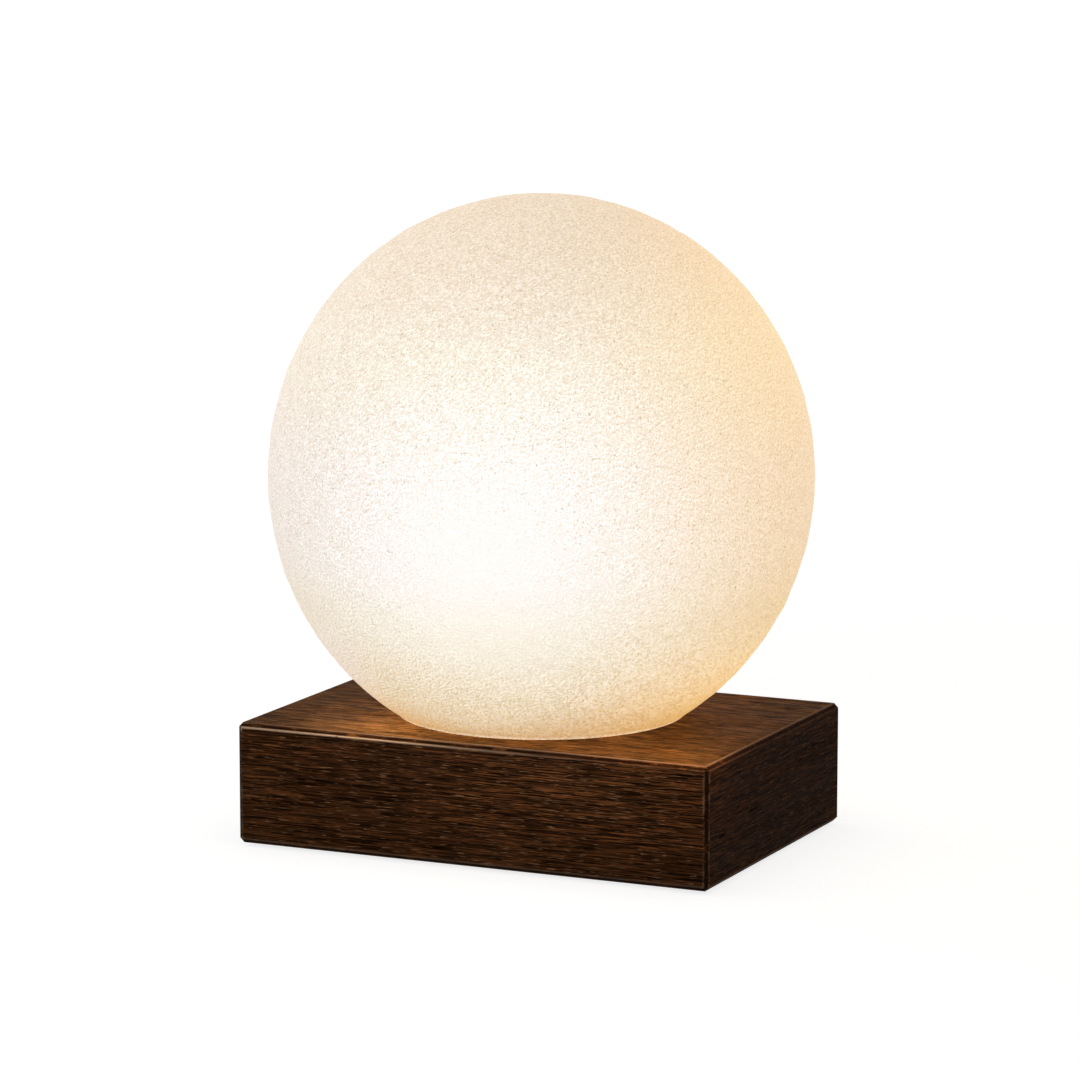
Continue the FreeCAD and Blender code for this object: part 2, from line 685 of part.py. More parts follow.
def holder_skirt():
    """Upper half of the lampholder: a sleeve that fits the cap and holds the core down with a lip."""
    rim = f"{SEAT_FLOOR} + Sizes.holder_height"
    inner = f"{HOLDER} - Sizes.holder_wall"
    edge = "Sizes.holder_rim"
    lip_top = f"{CORE_TOP} + Sizes.lip_thickness"
    turned(
        "holder_skirt",
        [
            (f"{CORE} + 2 * Sizes.fit", SPIGOT_BOTTOM),
            (SPIGOT, SPIGOT_BOTTOM),
            (SPIGOT, CAP_RIM),
            (HOLDER, CAP_RIM),
            (HOLDER, f"{rim} - {edge}"),
            (f"{HOLDER} - {edge}", rim),
            (f"{inner} + {edge}", rim),
            (inner, f"{rim} - {edge}"),
            (inner, lip_top),
            (f"{CORE} - Sizes.lip_reach", lip_top),
            (f"{CORE} - Sizes.lip_reach", CORE_TOP),
            (f"{CORE} + 2 * Sizes.fit", CORE_TOP),
        ],
        {4: ("round", edge, 1), 6: ("round", edge, 1)},
    )


def bulb_base():
    """Screw cap of the bulb: solder button, black insulator, ridged shell and the board inside it."""
    tip = "Sizes.tip_width / 2"
    turned(
        "cap_contact",
        [
            ("0", TIP), (f"{tip} - Sizes.tip_height", TIP), (tip, INSULATOR_BOTTOM), ("0", INSULATOR_BOTTOM),
        ],
        {1: ("round", "Sizes.tip_height", 1)},
    )
    lining = f"{ROOT} - Sizes.cap_wall"
    plug_top = f"{THREAD_BOTTOM} + Sizes.insulator_plug"
    turned("cap_insulator", [
        ("0", INSULATOR_BOTTOM), (f"{tip} + Sizes.cap_wall", INSULATOR_BOTTOM), (ROOT, THREAD_BOTTOM),
        (f"{lining} - Sizes.fit", THREAD_BOTTOM), (f"{lining} - Sizes.fit", plug_top), ("0", plug_top),
    ])
    ridges = []
    for turn in range(THREAD_TURNS):
        valley = f"{THREAD_BOTTOM} + {turn} * Sizes.thread_pitch"
        ridges += [(ROOT, valley), (CREST, f"{valley} + Sizes.thread_pitch / 2")]
    socket = f"{NECK} + Sizes.fit"
    socket_top = f"{NECK_BOTTOM} + Sizes.cap_socket"
    turned("bulb_cap", [
        (lining, THREAD_BOTTOM), *ridges, (ROOT, THREAD_TOP),
        (f"{socket} + Sizes.cap_wall", f"{THREAD_TOP} + Sizes.cap_wall"),
        (f"{socket} + Sizes.cap_wall", socket_top), (socket, socket_top),
        (socket, NECK_BOTTOM), (lining, NECK_BOTTOM),
    ])
    board = "Sizes.board_width / 2"
    board_top = f"{plug_top} + Sizes.board_height"
    corners = [(f"-{board}", plug_top), (board, plug_top), (board, board_top), (f"-{board}", board_top)]
    plate("driver_board", corners, "Sizes.board_thickness")


def bulb_envelope():
    """Pear-shaped glass with a straight neck, its stem and the light sticks inside."""
    half_width = "Sizes.bulb_width / 2"
    half_height = "Sizes.bulb_width / 2 + Sizes.bulb_rise"
    wall = "Sizes.glass_wall"
    turned(
        "bulb_glass",
        [
            (NECK, NECK_BOTTOM), (NECK, NECK_TOP), ("0", None), ("0", None),
            (f"{NECK} - {wall}", NECK_TOP), (f"{NECK} - {wall}", NECK_BOTTOM),
        ],
        {
            1: ("oval", half_width, half_height),
            3: ("oval", f"{half_width} - {wall}", f"{half_height} - {wall}"),
        },
    )
    stem = "Sizes.stem_width / 2"
    flare = f"{NECK} - {wall} - Sizes.fit"
    flare_top = f"{NECK_BOTTOM} + {wall}"
    throat = f"{flare_top} + {flare} - {stem}"
    turned(
        "glass_stem",
        [
            ("0", NECK_BOTTOM), (flare, NECK_BOTTOM), (flare, flare_top), (stem, throat),
            (stem, f"{NECK_BOTTOM} + Sizes.stem_height"), ("0", f"{NECK_BOTTOM} + Sizes.stem_height"),
        ],
        {2: ("round", f"{flare} - {stem}", -1)},
    )
    ring = "Sizes.filament_ring / 2"
    wires = new_body("lead_wires")
    stem_top = f"({NECK_BOTTOM} + Sizes.stem_height)"
    wire_ring = f"{stem} - Sizes.ring_wire"
    post(
        wires, "rods", "Sizes.ring_wire", f"{FILAMENT_BOTTOM} - Sizes.ring_wire - {stem_top}", stem_top,
        ring_of(2, f"({wire_ring})"),
    )
    arms = [
        (f"-{ring}", "-Sizes.ring_wire / 2"), (ring, "-Sizes.ring_wire / 2"),
        (ring, "Sizes.ring_wire / 2"), (f"-{ring}", "Sizes.ring_wire / 2"),
    ]
    cross = wires.newObject("PartDesign::Pad", "cross_bar")
    cross.Profile = outline(
        wires, "cross_plan", arms, role="XY_Plane", lift=f"{FILAMENT_BOTTOM} - 2 * Sizes.ring_wire"
    )
    cross.setExpression("Length", "Sizes.ring_wire")

    sticks = new_body("led_filaments")
    places = ring_of(4, f"({ring})")
    post(sticks, "sticks", "Sizes.filament_width", "Sizes.filament_length", FILAMENT_BOTTOM, places)
    rings = []
    for name, level in (("lower_ring", f"{FILAMENT_BOTTOM} - Sizes.ring_wire"), ("upper_ring", FILAMENT_TOP)):
        band = [doc.addObject("Part::Cylinder", f"{name}_{side}") for side in ("outside", "inside")]
        for solid, sign in zip(band, "+-"):
            solid.setExpression("Radius", f"{ring} {sign} Sizes.ring_wire / 2")
            solid.setExpression("Height", "Sizes.ring_wire")
            solid.setExpression("Placement.Base.z", level)
        hoop = doc.addObject("Part::Cut", name)
        hoop.Base, hoop.Tool = band
        rings.append(hoop)
    both = doc.addObject("Part::Compound", "filament_rings")
    both.Links = rings
    both.Label = "filament_rings"
    pieces.append(both)


def salt_globe():
    """Turned oval of salt with a flat foot and a round-ended bore, on its pad."""
    dome = f"{GLOBE_FOOT} + Sizes.cavity_depth"
    turned(
        "salt_globe",
        [
            ("Sizes.globe_foot / 2", GLOBE_FOOT),
            ("0", None),
            ("0", dome),
            (CAVITY, f"{dome} - {CAVITY}"),
            (CAVITY, f"{GLOBE_FOOT} + Sizes.mouth_bevel"),
            (f"{CAVITY} + Sizes.mouth_bevel", GLOBE_FOOT),
        ],
        {
            0: ("oval", "Sizes.globe_width / 2", "Sizes.globe_width / 2 + Sizes.globe_rise"),
            2: ("round", CAVITY, -1),
        },
    )
    pad_outer = "Sizes.globe_foot / 2 - Sizes.pad_inset"
    tube("foot_pad", f"{CAVITY} + Sizes.pad_inset", pad_outer, BLOCK_TOP, GLOBE_FOOT)


wood_base()
rubber_feet()
bottom_cover()
cover_screws()
cord_grommet()
locating_collar()
collar_screws()
holder_fixing()
holder_cap()
nipple_grub()
holder_core()
terminal_screws()
holder_contacts()
holder_skirt()
bulb_base()
bulb_envelope()
salt_globe()
doc.recompute()

for item in doc.Objects:
    if {"Invalid", "Error"} & set(item.State):
        raise RuntimeError(f"{item.Name} did not compute: {item.State}")
for piece in pieces:
    if piece.Shape.isNull() or not piece.Shape.isValid() or not piece.Shape.Solids:
        raise RuntimeError(f"{piece.Label} is not a valid solid")

os.makedirs("parts", exist_ok=True)
for piece in pieces:
    piece.Shape.exportStep(f"parts/{piece.Label}.step")
    print(f"{piece.Label}: {len(piece.Shape.Solids)} solids, {piece.Shape.Volume:.1f} mm3")
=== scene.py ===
from math import cos, pi, radians, sin

import bmesh
import bpy
from mathutils import Matrix, Vector, noise


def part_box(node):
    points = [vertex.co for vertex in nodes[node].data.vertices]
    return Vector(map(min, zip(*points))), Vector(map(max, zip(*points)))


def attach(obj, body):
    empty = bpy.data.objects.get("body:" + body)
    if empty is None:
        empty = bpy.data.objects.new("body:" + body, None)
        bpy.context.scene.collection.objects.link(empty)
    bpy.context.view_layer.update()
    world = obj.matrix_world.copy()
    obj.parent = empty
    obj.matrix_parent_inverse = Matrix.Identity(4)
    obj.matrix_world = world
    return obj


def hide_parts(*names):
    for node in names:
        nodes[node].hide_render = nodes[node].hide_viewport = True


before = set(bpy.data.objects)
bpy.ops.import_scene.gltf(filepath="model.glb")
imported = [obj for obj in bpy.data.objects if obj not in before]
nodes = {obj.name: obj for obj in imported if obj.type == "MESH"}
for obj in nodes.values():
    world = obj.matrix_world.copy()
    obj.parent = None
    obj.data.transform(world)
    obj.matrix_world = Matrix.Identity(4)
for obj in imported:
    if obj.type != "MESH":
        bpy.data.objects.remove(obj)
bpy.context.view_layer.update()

# Block: one piece of hardwood, sawn square, its edges planed to a small chamfer, stained nearly black and
# finished with a satin lacquer that has worn through along the edges, with painted highlights on the worn arrises and
# painted shade on the chamfers. It stands on the feet and carries all the rest.

block_chamfer = 0.0015


def add(tree, kind, inputs=None, **settings):
    """One shader node; each input is a number, a colour or the socket that feeds it."""
    made = tree.nodes.new(kind)
    for name, value in settings.items():
        setattr(made, name, value)
    for key, value in (inputs or {}).items():
        if isinstance(value, bpy.types.NodeSocket):
            tree.links.new(value, made.inputs[key])
        else:
            made.inputs[key].default_value = value
    return made


def new_material(name):
    """A node material, its tree, and the place on the piece that its patterns follow."""
    material = bpy.data.materials.new(name)
    material.use_nodes = True
    tree = material.node_tree
    tree.nodes.clear()
    return material, tree, add(tree, "ShaderNodeTexCoord").outputs["Object"]


def maths(tree, operation, first, second=0.0, third=0.0):
    inputs = {0: first, 1: second, 2: third}
    return add(tree, "ShaderNodeMath", inputs, operation=operation).outputs[0]


def remap(tree, value, low, high, to_low=0.0, to_high=1.0):
    """Smooth step from one range of a value to another."""
    inputs = {"Value": value, "From Min": low, "From Max": high, "To Min": to_low, "To Max": to_high}
    return add(tree, "ShaderNodeMapRange", inputs, interpolation_type="SMOOTHSTEP").outputs[0]


def blend_colours(tree, factor, first, second, kind="MIX"):
    inputs = {0: factor, 6: first, 7: second}
    return add(tree, "ShaderNodeMix", inputs, data_type="RGBA", blend_type=kind).outputs[2]


def blend_places(tree, factor, first, second):
    return add(tree, "ShaderNodeMix", {0: factor, 4: first, 5: second}, data_type="VECTOR").outputs[1]


def cloud(tree, place, scale, detail=2.0, roughness=0.5, stretch=(1, 1, 1), shift=(0, 0, 0), twist=0.0):
    """Noise at a scale per metre, drawn out along an axis by a stretch under 1."""
    mapped = add(tree, "ShaderNodeMapping", {"Vector": place, "Scale": stretch, "Location": shift})
    inputs = {
        "Vector": mapped.outputs[0], "Scale": scale, "Detail": detail, "Roughness": roughness, "Distortion": twist,
    }
    return add(tree, "ShaderNodeTexNoise", inputs).outputs[0]


def relief(tree, height, strength, depth):
    """The fine relief of a surface, with its depth in metres."""
    inputs = {"Strength": strength, "Distance": depth, "Height": height}
    return add(tree, "ShaderNodeBump", inputs).outputs[0]


def finish_surface(tree, inputs):
    """The shader that ends a material."""
    shader = add(tree, "ShaderNodeBsdfPrincipled", inputs)
    add(tree, "ShaderNodeOutputMaterial", {"Surface": shader.outputs[0]})


def dress(node, material):
    """Gives a carried-over solid its finish."""
    nodes[node].material_slots[0].material = material


def stained_wood():
    dark = (0.014, 0.0055, 0.0024, 1)
    brown = (0.083, 0.031, 0.0118, 1)
    red = (0.25, 0.081, 0.024, 1)
    tan = (0.44, 0.22, 0.11, 1)
    pore_black = (0.004, 0.0018, 0.001, 1)
    # Painted light on the top and painted shade on the ends.
    top_painted_light = (1.0, 1.25, 1.12, 1)
    end_painted_shade = (0.55, 0.6, 0.65, 1)
    # Painted shade on the chamfers.
    chamfer_shade_black = (0.012, 0.0045, 0.002, 1)
    scuff_brown = (0.2, 0.075, 0.022, 1)
    # The arris lines: worn wood under a painted highlight.
    bare_wood_and_glint = (0.42, 0.29, 0.205, 1)
    pale_wood_glint = (0.58, 0.385, 0.265, 1)

    material, tree, spot = new_material("stained_wood")
    x, y, z = add(tree, "ShaderNodeSeparateXYZ", {0: spot}).outputs

    # The grain runs along the block, is turned across its ends, and is broader on the top.
    face = add(tree, "ShaderNodeTexCoord").outputs["Normal"]
    facing = add(tree, "ShaderNodeSeparateXYZ", {0: face}).outputs
    squarely = 0.8
    on_end = maths(tree, "GREATER_THAN", maths(tree, "ABSOLUTE", facing[0]), squarely)
    on_top = maths(tree, "GREATER_THAN", maths(tree, "ABSOLUTE", facing[2]), squarely)
    turned = add(tree, "ShaderNodeCombineXYZ", {0: y, 1: x, 2: z}).outputs[0]
    drawn_in = maths(tree, "MULTIPLY", y, 0.6)
    broader = add(tree, "ShaderNodeCombineXYZ", {0: x, 1: drawn_in, 2: z}).outputs[0]
    along = blend_places(tree, on_end, spot, turned)
    along = blend_places(tree, on_top, along, broader)

    def fine_grain(scale, stretch, shift=(0, 0, 0)):
        return cloud(tree, along, scale, 1, 0.5, stretch=(stretch, 1, 1), shift=shift, twist=0.3)

    figure = cloud(tree, along, 26, 3, 0.55, stretch=(0.35, 1, 1), twist=0.6)
    bands = cloud(tree, along, 260, 3, 0.6, stretch=(0.04, 1, 1), twist=0.4)
    fibres = fine_grain(3700, 0.016)
    threads = fine_grain(3900, 0.022, shift=(0.5, 0.2, 0.6))
    pore = remap(tree, fine_grain(3500, 0.022, shift=(0.3, 0.1, 0.7)), 0.57, 0.62)
    hairline = remap(tree, fine_grain(3700, 0.05, shift=(0.9, 0.4, 0.2)), 0.65, 0.69)

    # The stain takes darker in the hollows and pores, and redder in the figure.
    body = maths(tree, "MULTIPLY", remap(tree, fibres, 0.42, 0.58), remap(tree, bands, 0.3, 0.65, 0.85, 1.0))
    warm = maths(tree, "MULTIPLY", remap(tree, figure, 0.35, 0.65, 0.4, 0.9), remap(tree, threads, 0.52, 0.62))
    hairline = maths(tree, "MULTIPLY", hairline, remap(tree, on_top, 0.0, 1.0, 0.62, 0.25))
    stain = blend_colours(tree, body, dark, brown)
    stain = blend_colours(tree, warm, stain, red)
    stain = blend_colours(tree, maths(tree, "MULTIPLY", pore, 0.85), stain, pore_black)
    stain = blend_colours(tree, hairline, stain, tan)
    # The top is painted paler, offsetting the warm glow that falls on it, and the ends are painted darker as shade.
    stain = blend_colours(tree, on_top, stain, top_painted_light, "MULTIPLY")
    stain = blend_colours(tree, on_end, stain, end_painted_shade, "MULTIPLY")

    # The middle one of the three distances past each face's chamfer is nought on the arrises.
    low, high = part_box("wood_base")
    middle = (low + high) / 2
    half = (high - low) / 2
    past = []
    for value, centre, reach in zip((x, y, z), middle, half):
        offset = maths(tree, "ABSOLUTE", maths(tree, "SUBTRACT", value, centre))
        past.append(maths(tree, "SUBTRACT", offset, reach - block_chamfer))
    larger = maths(tree, "MAXIMUM", past[0], past[1])
    smaller = maths(tree, "MINIMUM", past[0], past[1])
    between = maths(tree, "MAXIMUM", smaller, maths(tree, "MINIMUM", larger, past[2]))
    upper = remap(tree, maths(tree, "SUBTRACT", past[2], larger), 0.0, 0.001)
    along_top = remap(tree, past[2], -0.002, -0.0004)

    # The lacquer is rubbed through in a line on each arris, and the line also carries a painted highlight, strongest
    # as a painted glint at the corner at the front left.
    lower_line, upper_line = 0.0005, 0.00045
    wide = remap(tree, upper, 0.0, 1.0, lower_line, upper_line)
    arris = maths(tree, "SUBTRACT", 1.0, maths(tree, "DIVIDE", maths(tree, "ABSOLUTE", between), wide))
    arris = remap(tree, arris, 0.0, 0.8)
    gaps = remap(tree, along_top, 0.0, 1.0, 0.45, 0.2)
    rubbed = cloud(tree, spot, 180, 3, 0.6)
    rubbed = remap(tree, rubbed, gaps, maths(tree, "ADD", gaps, 0.2))
    front_left_glint = remap(tree, maths(tree, "ADD", x, y), 0.0, -0.125, 0.05, 1.0)
    front_left_glint = remap(tree, z, 0.015, 0.03, 0.2, front_left_glint)
    strength = remap(tree, upper, 0.0, 1.0, front_left_glint, remap(tree, front_left_glint, 0.6, 1.0, 0.36, 0.16))
    strength = remap(tree, along_top, 0.0, 1.0, 0.25, strength)
    arris = maths(tree, "MULTIPLY", arris, maths(tree, "MULTIPLY", rubbed, strength))

    # The chamfer itself is painted dark as shade, with a few brown scuffs.
    band = maths(tree, "MULTIPLY", remap(tree, between, 0.0001, 0.0004), remap(tree, upper, 0.0, 1.0, 0.85, 0.4))
    scuffs = remap(tree, cloud(tree, along, 420, 4, 0.7, stretch=(0.3, 1, 1)), 0.56, 0.68)
    scuffs = maths(tree, "MULTIPLY", remap(tree, between, -0.0012, 0.0004), scuffs)
    stain = blend_colours(tree, band, stain, chamfer_shade_black)
    stain = blend_colours(tree, maths(tree, "MULTIPLY", scuffs, 0.6), stain, scuff_brown)
    # The arris lines are worn wood with a painted highlight over them.
    stain = blend_colours(tree, arris, stain, blend_colours(tree, front_left_glint, bare_wood_and_glint, pale_wood_glint))

    height = maths(tree, "SUBTRACT", maths(tree, "MULTIPLY", fibres, 0.5), pore)
    gloss = remap(tree, bands, 0.3, 0.7, 0.5, 0.4)
    gloss = maths(tree, "ADD", gloss, maths(tree, "MULTIPLY", pore, 0.25))
    finish_surface(tree, {
        "Base Color": stain, "Roughness": gloss, "Specular IOR Level": 0.003,
        "Normal": relief(tree, height, 0.55, 0.00012),
    })
    return material


dress("wood_base", stained_wood())

# Feet and cord inlet: black rubber. The feet are glued into round recesses under the block; the inlet is a flanged
# bush pressed into the back.


def black_rubber():
    black = (0.013, 0.013, 0.013, 1)
    bloom_grey = (0.04, 0.038, 0.035, 1)
    material, tree, spot = new_material("black_rubber")
    bloom = cloud(tree, spot, 160, 4, 0.6)
    skin = cloud(tree, spot, 2600, 2, 0.5)
    finish_surface(tree, {
        "Base Color": blend_colours(tree, remap(tree, bloom, 0.4, 0.75), black, bloom_grey),
        "Roughness": remap(tree, bloom, 0.3, 0.7, 0.55, 0.8),
        "Normal": relief(tree, skin, 0.25, 0.0001),
    })
    return material


rubber = black_rubber()
dress("rubber_feet", rubber)
dress("cord_grommet", rubber)

# Cover: a round steel plate, powder coated, let flush into the underside over the wiring pocket. Three
# countersunk screws hold it.


def powder_coat():
    black = (0.02, 0.02, 0.021, 1)
    scuffed = (0.06, 0.058, 0.055, 1)
    material, tree, spot = new_material("powder_coat")
    peel = cloud(tree, spot, 1500, 2, 0.5)
    scuffs = cloud(tree, spot, 90, 5, 0.7)
    finish_surface(tree, {
        "Base Color": blend_colours(tree, remap(tree, scuffs, 0.5, 0.8), black, scuffed),
        "Roughness": remap(tree, scuffs, 0.35, 0.7, 0.42, 0.6),
        "Normal": relief(tree, peel, 0.3, 0.0001),
    })
    return material


dress("bottom_cover", powder_coat())

# Screws, washers, nut and tube: steel, turned or pressed, then tumbled and zinc plated. The tube and its nut clamp
# the lampholder to the block; the screws go into the wood, the cap of the holder and its core.


def plated_metal(name, colour, stain, roughness):
    """Plated metal with cloudy tarnish and fine tool marks."""
    material, tree, spot = new_material(name)
    tarnish = cloud(tree, spot, 240, 4, 0.6)
    marks = cloud(tree, spot, 5200, 2, 0.5, stretch=(1, 1, 0.15))
    finish_surface(tree, {
        "Base Color": blend_colours(tree, remap(tree, tarnish, 0.42, 0.75), colour, stain),
        "Metallic": 1.0,
        "Roughness": remap(tree, tarnish, 0.3, 0.7, roughness, roughness + 0.16),
        "Normal": relief(tree, marks, 0.12, 0.00005),
    })
    return material


zinc = plated_metal("zinc_plate", (0.58, 0.59, 0.6, 1), (0.4, 0.4, 0.38, 1), 0.3)
for fastener in (
    "cover_screws", "collar_screws", "threaded_nipple", "nipple_washer", "lock_washer", "nipple_nut", "nipple_grub",
    "terminal_screws",
):
    dress(fastener, zinc)

# Collar: an aluminium ring, spun over a form and left with its fine turning marks. Its flange is screwed to the top
# of the block, and the globe's bore drops over it.


def spun_aluminium():
    bright = (0.74, 0.74, 0.75, 1)
    dull = (0.56, 0.56, 0.56, 1)
    material, tree, spot = new_material("spun_aluminium")
    x, y, z = add(tree, "ShaderNodeSeparateXYZ", {0: spot}).outputs
    across = maths(tree, "SQRT", maths(tree, "ADD", maths(tree, "POWER", x, 2.0), maths(tree, "POWER", y, 2.0)))
    reach = add(tree, "ShaderNodeCombineXYZ", {0: across, 1: 0.0, 2: z}).outputs[0]
    rings = cloud(tree, reach, 6000, 2, 0.6)
    haze = cloud(tree, spot, 120, 4, 0.6)
    finish_surface(tree, {
        "Base Color": blend_colours(tree, remap(tree, haze, 0.4, 0.8), bright, dull),
        "Metallic": 1.0,
        "Roughness": remap(tree, rings, 0.3, 0.7, 0.28, 0.42),
        "Normal": relief(tree, rings, 0.2, 0.00006),
    })
    return material


dress("locating_collar", spun_aluminium())

# Lampholder: a two-part shell moulded in pale phenolic around an unglazed ceramic core, with brass contacts. The tube
# and a grub screw hold it in its seat in the block.


def moulded_shell():
    pale = (0.72, 0.69, 0.61, 1)
    yellowed = (0.6, 0.54, 0.43, 1)
    material, tree, spot = new_material("pale_phenolic")
    yellowing = cloud(tree, spot, 70, 4, 0.6)
    skin = cloud(tree, spot, 3200, 2, 0.5)
    finish_surface(tree, {
        "Base Color": blend_colours(tree, remap(tree, yellowing, 0.35, 0.75), pale, yellowed),
        "Roughness": remap(tree, yellowing, 0.3, 0.7, 0.34, 0.48),
        "Normal": relief(tree, skin, 0.12, 0.00008),
    })
    return material


def bare_ceramic():
    white = (0.8, 0.78, 0.73, 1)
    buff = (0.68, 0.65, 0.6, 1)
    material, tree, spot = new_material("bare_ceramic")
    body = cloud(tree, spot, 400, 4, 0.6)
    grit = cloud(tree, spot, 4200, 2, 0.5)
    finish_surface(tree, {
        "Base Color": blend_colours(tree, body, white, buff),
        "Roughness": remap(tree, grit, 0.3, 0.7, 0.7, 0.9),
        "Normal": relief(tree, grit, 0.3, 0.0001),
    })
    return material


phenolic = moulded_shell()
dress("holder_cap", phenolic)
dress("holder_skirt", phenolic)
dress("holder_core", bare_ceramic())
brass = plated_metal("contact_brass", (0.75, 0.55, 0.24, 1), (0.5, 0.33, 0.13, 1), 0.24)
for contact in ("centre_contact", "screw_shell", "cap_contact"):
    dress(contact, brass)

# Bulb: a clear blown envelope cemented into a nickel-plated screw cap with a black glass insulator. A glass stem
# carries the wires and four glowing sticks, and a small board in the cap feeds them. It screws into the holder.


def clear_glass(name, clean, hazy):
    """Glass with faint streaks from the blowing."""
    material, tree, spot = new_material(name)
    streaks = cloud(tree, spot, 150, 3, 0.5, stretch=(1, 1, 0.3))
    finish_surface(tree, {
        "Base Color": blend_colours(tree, remap(tree, streaks, 0.35, 0.7), clean, hazy),
        "Roughness": remap(tree, streaks, 0.45, 0.75, 0.0, 0.05),
        "IOR": 1.5,
        "Transmission Weight": 1.0,
    })
    return material


def black_insulator():
    black = (0.006, 0.006, 0.008, 1)
    smoky = (0.02, 0.02, 0.024, 1)
    material, tree, spot = new_material("black_glass")
    flow = cloud(tree, spot, 500, 3, 0.5)
    finish_surface(tree, {
        "Base Color": blend_colours(tree, flow, black, smoky),
        "Roughness": remap(tree, flow, 0.3, 0.7, 0.08, 0.2),
    })
    return material


def circuit_board():
    green = (0.015, 0.09, 0.035, 1)
    light_green = (0.03, 0.14, 0.06, 1)
    material, tree, spot = new_material("circuit_board")
    weave = cloud(tree, spot, 2400, 2, 0.5)
    finish_surface(tree, {
        "Base Color": blend_colours(tree, weave, green, light_green),
        "Roughness": remap(tree, weave, 0.3, 0.7, 0.35, 0.5),
    })
    return material


def glowing_phosphor():
    orange, yellow = (0.85, 0.55, 0.16, 1), (0.95, 0.72, 0.3, 1)
    deep_light, clear_light = (1.0, 0.62, 0.26, 1), (1.0, 0.8, 0.5, 1)
    material, tree, spot = new_material("glowing_phosphor")
    chips = cloud(tree, spot, 900, 1, 0.5, stretch=(0.05, 0.05, 1))
    finish_surface(tree, {
        "Base Color": blend_colours(tree, chips, orange, yellow),
        "Roughness": 0.6,
        "Emission Color": blend_colours(tree, chips, deep_light, clear_light),
        "Emission Strength": 12.0,
    })
    return material


def place_lamp(light, place):
    lamp = bpy.data.objects.new(light.name, light)
    lamp.location = place
    bpy.context.collection.objects.link(lamp)
    return lamp


def hide_lamp(lamp):
    """The lamp lights the pieces, and is not seen itself."""
    lamp.visible_camera = False
    lamp.visible_glossy = False
    lamp.visible_transmission = False


dress("bulb_glass", clear_glass("bulb_glass", (0.99, 0.995, 0.99, 1), (0.96, 0.97, 0.96, 1)))
dress("glass_stem", clear_glass("stem_glass", (0.93, 0.96, 0.94, 1), (0.88, 0.92, 0.9, 1)))
nickel = plated_metal("nickel_plate", (0.66, 0.63, 0.58, 1), (0.45, 0.42, 0.37, 1), 0.22)
for piece in ("bulb_cap", "lead_wires", "filament_rings"):
    dress(piece, nickel)
dress("cap_insulator", black_insulator())
dress("driver_board", circuit_board())
dress("led_filaments", glowing_phosphor())

bulb_low, bulb_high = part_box("bulb_glass")
glow = bpy.data.lights.new("bulb_glow", "POINT")
glow.color = (1.0, 0.72, 0.42)
glow.energy = 0.23
glow.shadow_soft_size = 0.008
glow_lamp = place_lamp(glow, (bulb_low + bulb_high) / 2)
hide_lamp(glow_lamp)

# Pad: a thin ring of dark felt, cut from sheet and glued under the globe's foot. It keeps the salt off the wood and
# shows as a dark line between them.


def dark_felt():
    deep_brown = (0.012, 0.009, 0.007, 1)
    tuft_brown = (0.05, 0.038, 0.028, 1)
    material, tree, spot = new_material("dark_felt")
    tufts = cloud(tree, spot, 1800, 4, 0.7)
    finish_surface(tree, {
        "Base Color": blend_colours(tree, tufts, deep_brown, tuft_brown),
        "Roughness": 0.95,
        "Normal": relief(tree, tufts, 0.8, 0.0003),
    })
    return material


dress("foot_pad", dark_felt())

# Globe: ground white salt pressed and turned to a ball a little taller than wide, cut flat below and bored for the
# bulb. It stands loose on its pad around the collar, and the bulb's light coming through it is painted on as a glow.

globe_half_width = 0.090
globe_half_height = 0.0928
globe_divisions = 7
foot_ease = 0.0006
bore_radius = 0.030
mouth_bevel = 0.0015
dome_rings = 10
lump_layers = ((150, 0.00022), (300, 0.00013))
lumps_fade = 0.006
foot_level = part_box("salt_globe")[0].z
crown_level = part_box("salt_globe")[1].z
springing_level = foot_level + 0.070


